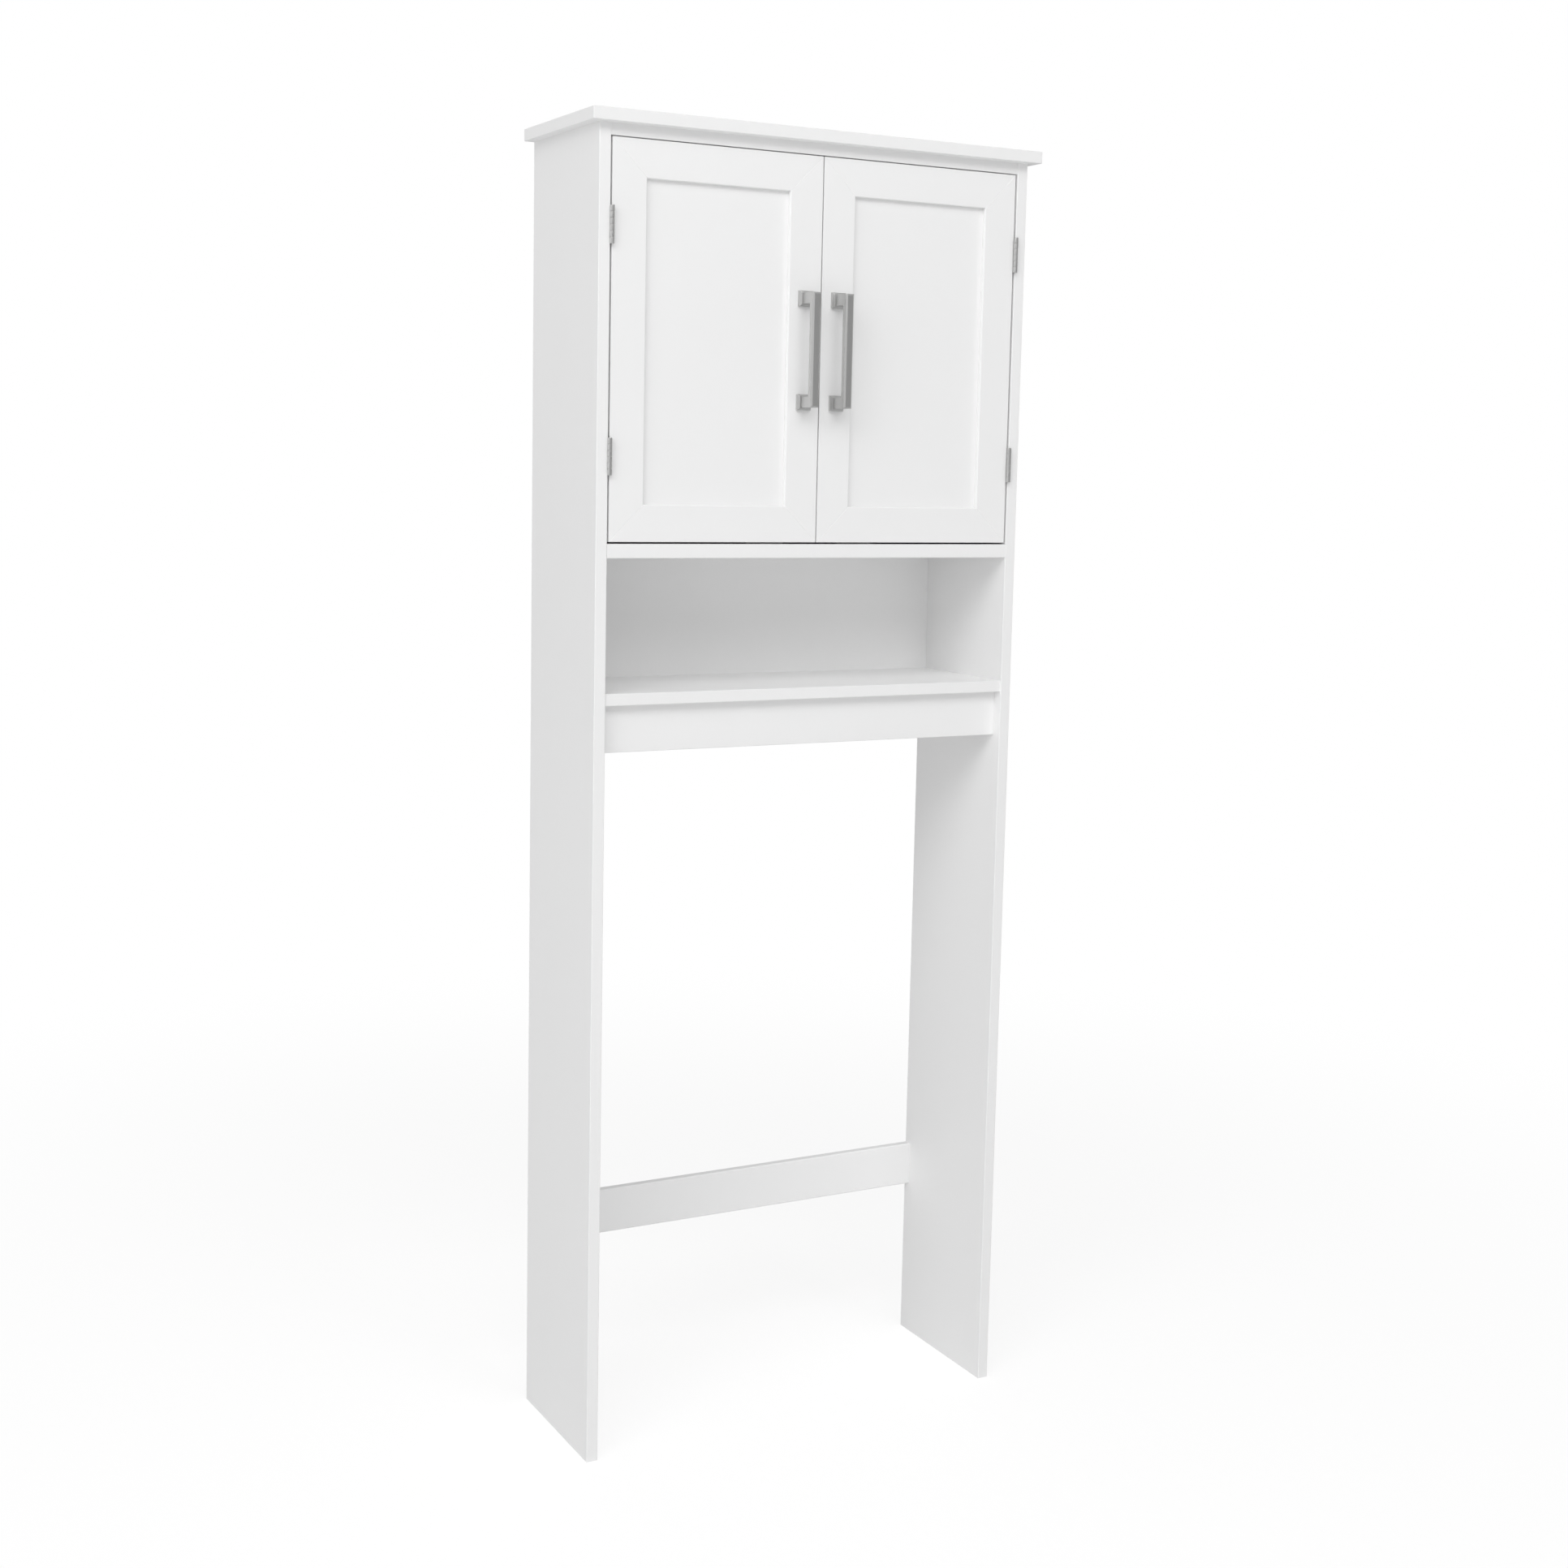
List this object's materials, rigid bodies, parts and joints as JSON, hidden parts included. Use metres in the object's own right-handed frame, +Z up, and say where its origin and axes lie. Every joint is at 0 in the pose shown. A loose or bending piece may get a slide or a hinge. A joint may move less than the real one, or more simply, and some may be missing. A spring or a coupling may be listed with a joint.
{
  "type": "over-toilet cabinet",
  "caption": "Tall white bathroom cabinet that stands over a toilet, with hinged panelled doors, bar pulls, an open niche and a rear stretcher between full-height sides.",
  "frame": {"origin": "on the floor, halfway across the width and halfway along the depth over the pulls", "axes": "+Z up, +X to the right seen from the front, +Y from the doors to the back"},
  "size_m": [0.634, 0.242, 1.676],
  "materials": {
    "painted_board": "satin white paint on fibreboard",
    "back_sheet": "white coated hardboard, plain brown on its hidden back",
    "brushed_nickel": "brushed nickel plating on die-cast zinc",
    "plated_steel": "nickel plated steel",
    "cast_zinc": "bare die-cast zinc",
    "beech": "raw fluted beech",
    "white_plastic": "moulded white plastic",
    "ferrite": "matt sintered ferrite"
  },
  "bodies": {
    "cabinet": {"left_side_panel": "painted_board", "right_side_panel": "painted_board", "top_board": "painted_board", "top_front_rail": "painted_board", "cabinet_floor": "painted_board", "open_shelf": "painted_board", "apron_rail": "painted_board", "rear_stretcher": "painted_board", "back_panel": "back_sheet", "inner_shelf": "painted_board", "shelf_pins": "plated_steel", "cam_locks": "cast_zinc", "cam_bolts": "plated_steel", "wood_dowels": "beech", "case_hinge_screws": "plated_steel", "catch_screws": "plated_steel", "left_catch_housing": "white_plastic", "left_catch_magnet": "ferrite", "left_upper_case_leaf": "plated_steel", "left_upper_hinge_pin": "plated_steel", "left_lower_case_leaf": "plated_steel", "left_lower_hinge_pin": "plated_steel", "right_catch_housing": "white_plastic", "right_catch_magnet": "ferrite", "right_upper_case_leaf": "plated_steel", "right_upper_hinge_pin": "plated_steel", "right_lower_case_leaf": "plated_steel", "right_lower_hinge_pin": "plated_steel"},
    "left_door": {"left_hinge_stile": "painted_board", "left_pull_stile": "painted_board", "left_door_top_rail": "painted_board", "left_door_bottom_rail": "painted_board", "left_door_panel": "painted_board", "left_pull": "brushed_nickel", "left_pull_screws": "plated_steel", "left_upper_door_leaf": "plated_steel", "left_lower_door_leaf": "plated_steel", "left_door_hinge_screws": "plated_steel", "left_strike_plate": "plated_steel", "left_strike_screw": "plated_steel"},
    "right_door": {"right_hinge_stile": "painted_board", "right_pull_stile": "painted_board", "right_door_top_rail": "painted_board", "right_door_bottom_rail": "painted_board", "right_door_panel": "painted_board", "right_pull": "brushed_nickel", "right_pull_screws": "plated_steel", "right_upper_door_leaf": "plated_steel", "right_lower_door_leaf": "plated_steel", "right_door_hinge_screws": "plated_steel", "right_strike_plate": "plated_steel", "right_strike_screw": "plated_steel"}
  },
  "joints": [
    {"name": "left_door_swing", "type": "hinge", "parent": "cabinet", "child": "left_door", "pos_m": [-0.2873, -0.092, 1.40605], "axis": [0, 0, -1], "range_deg": [0, 180]},
    {"name": "right_door_swing", "type": "hinge", "parent": "cabinet", "child": "right_door", "pos_m": [0.2873, -0.092, 1.40605], "axis": [0, 0, 1], "range_deg": [0, 180]}
  ]
}
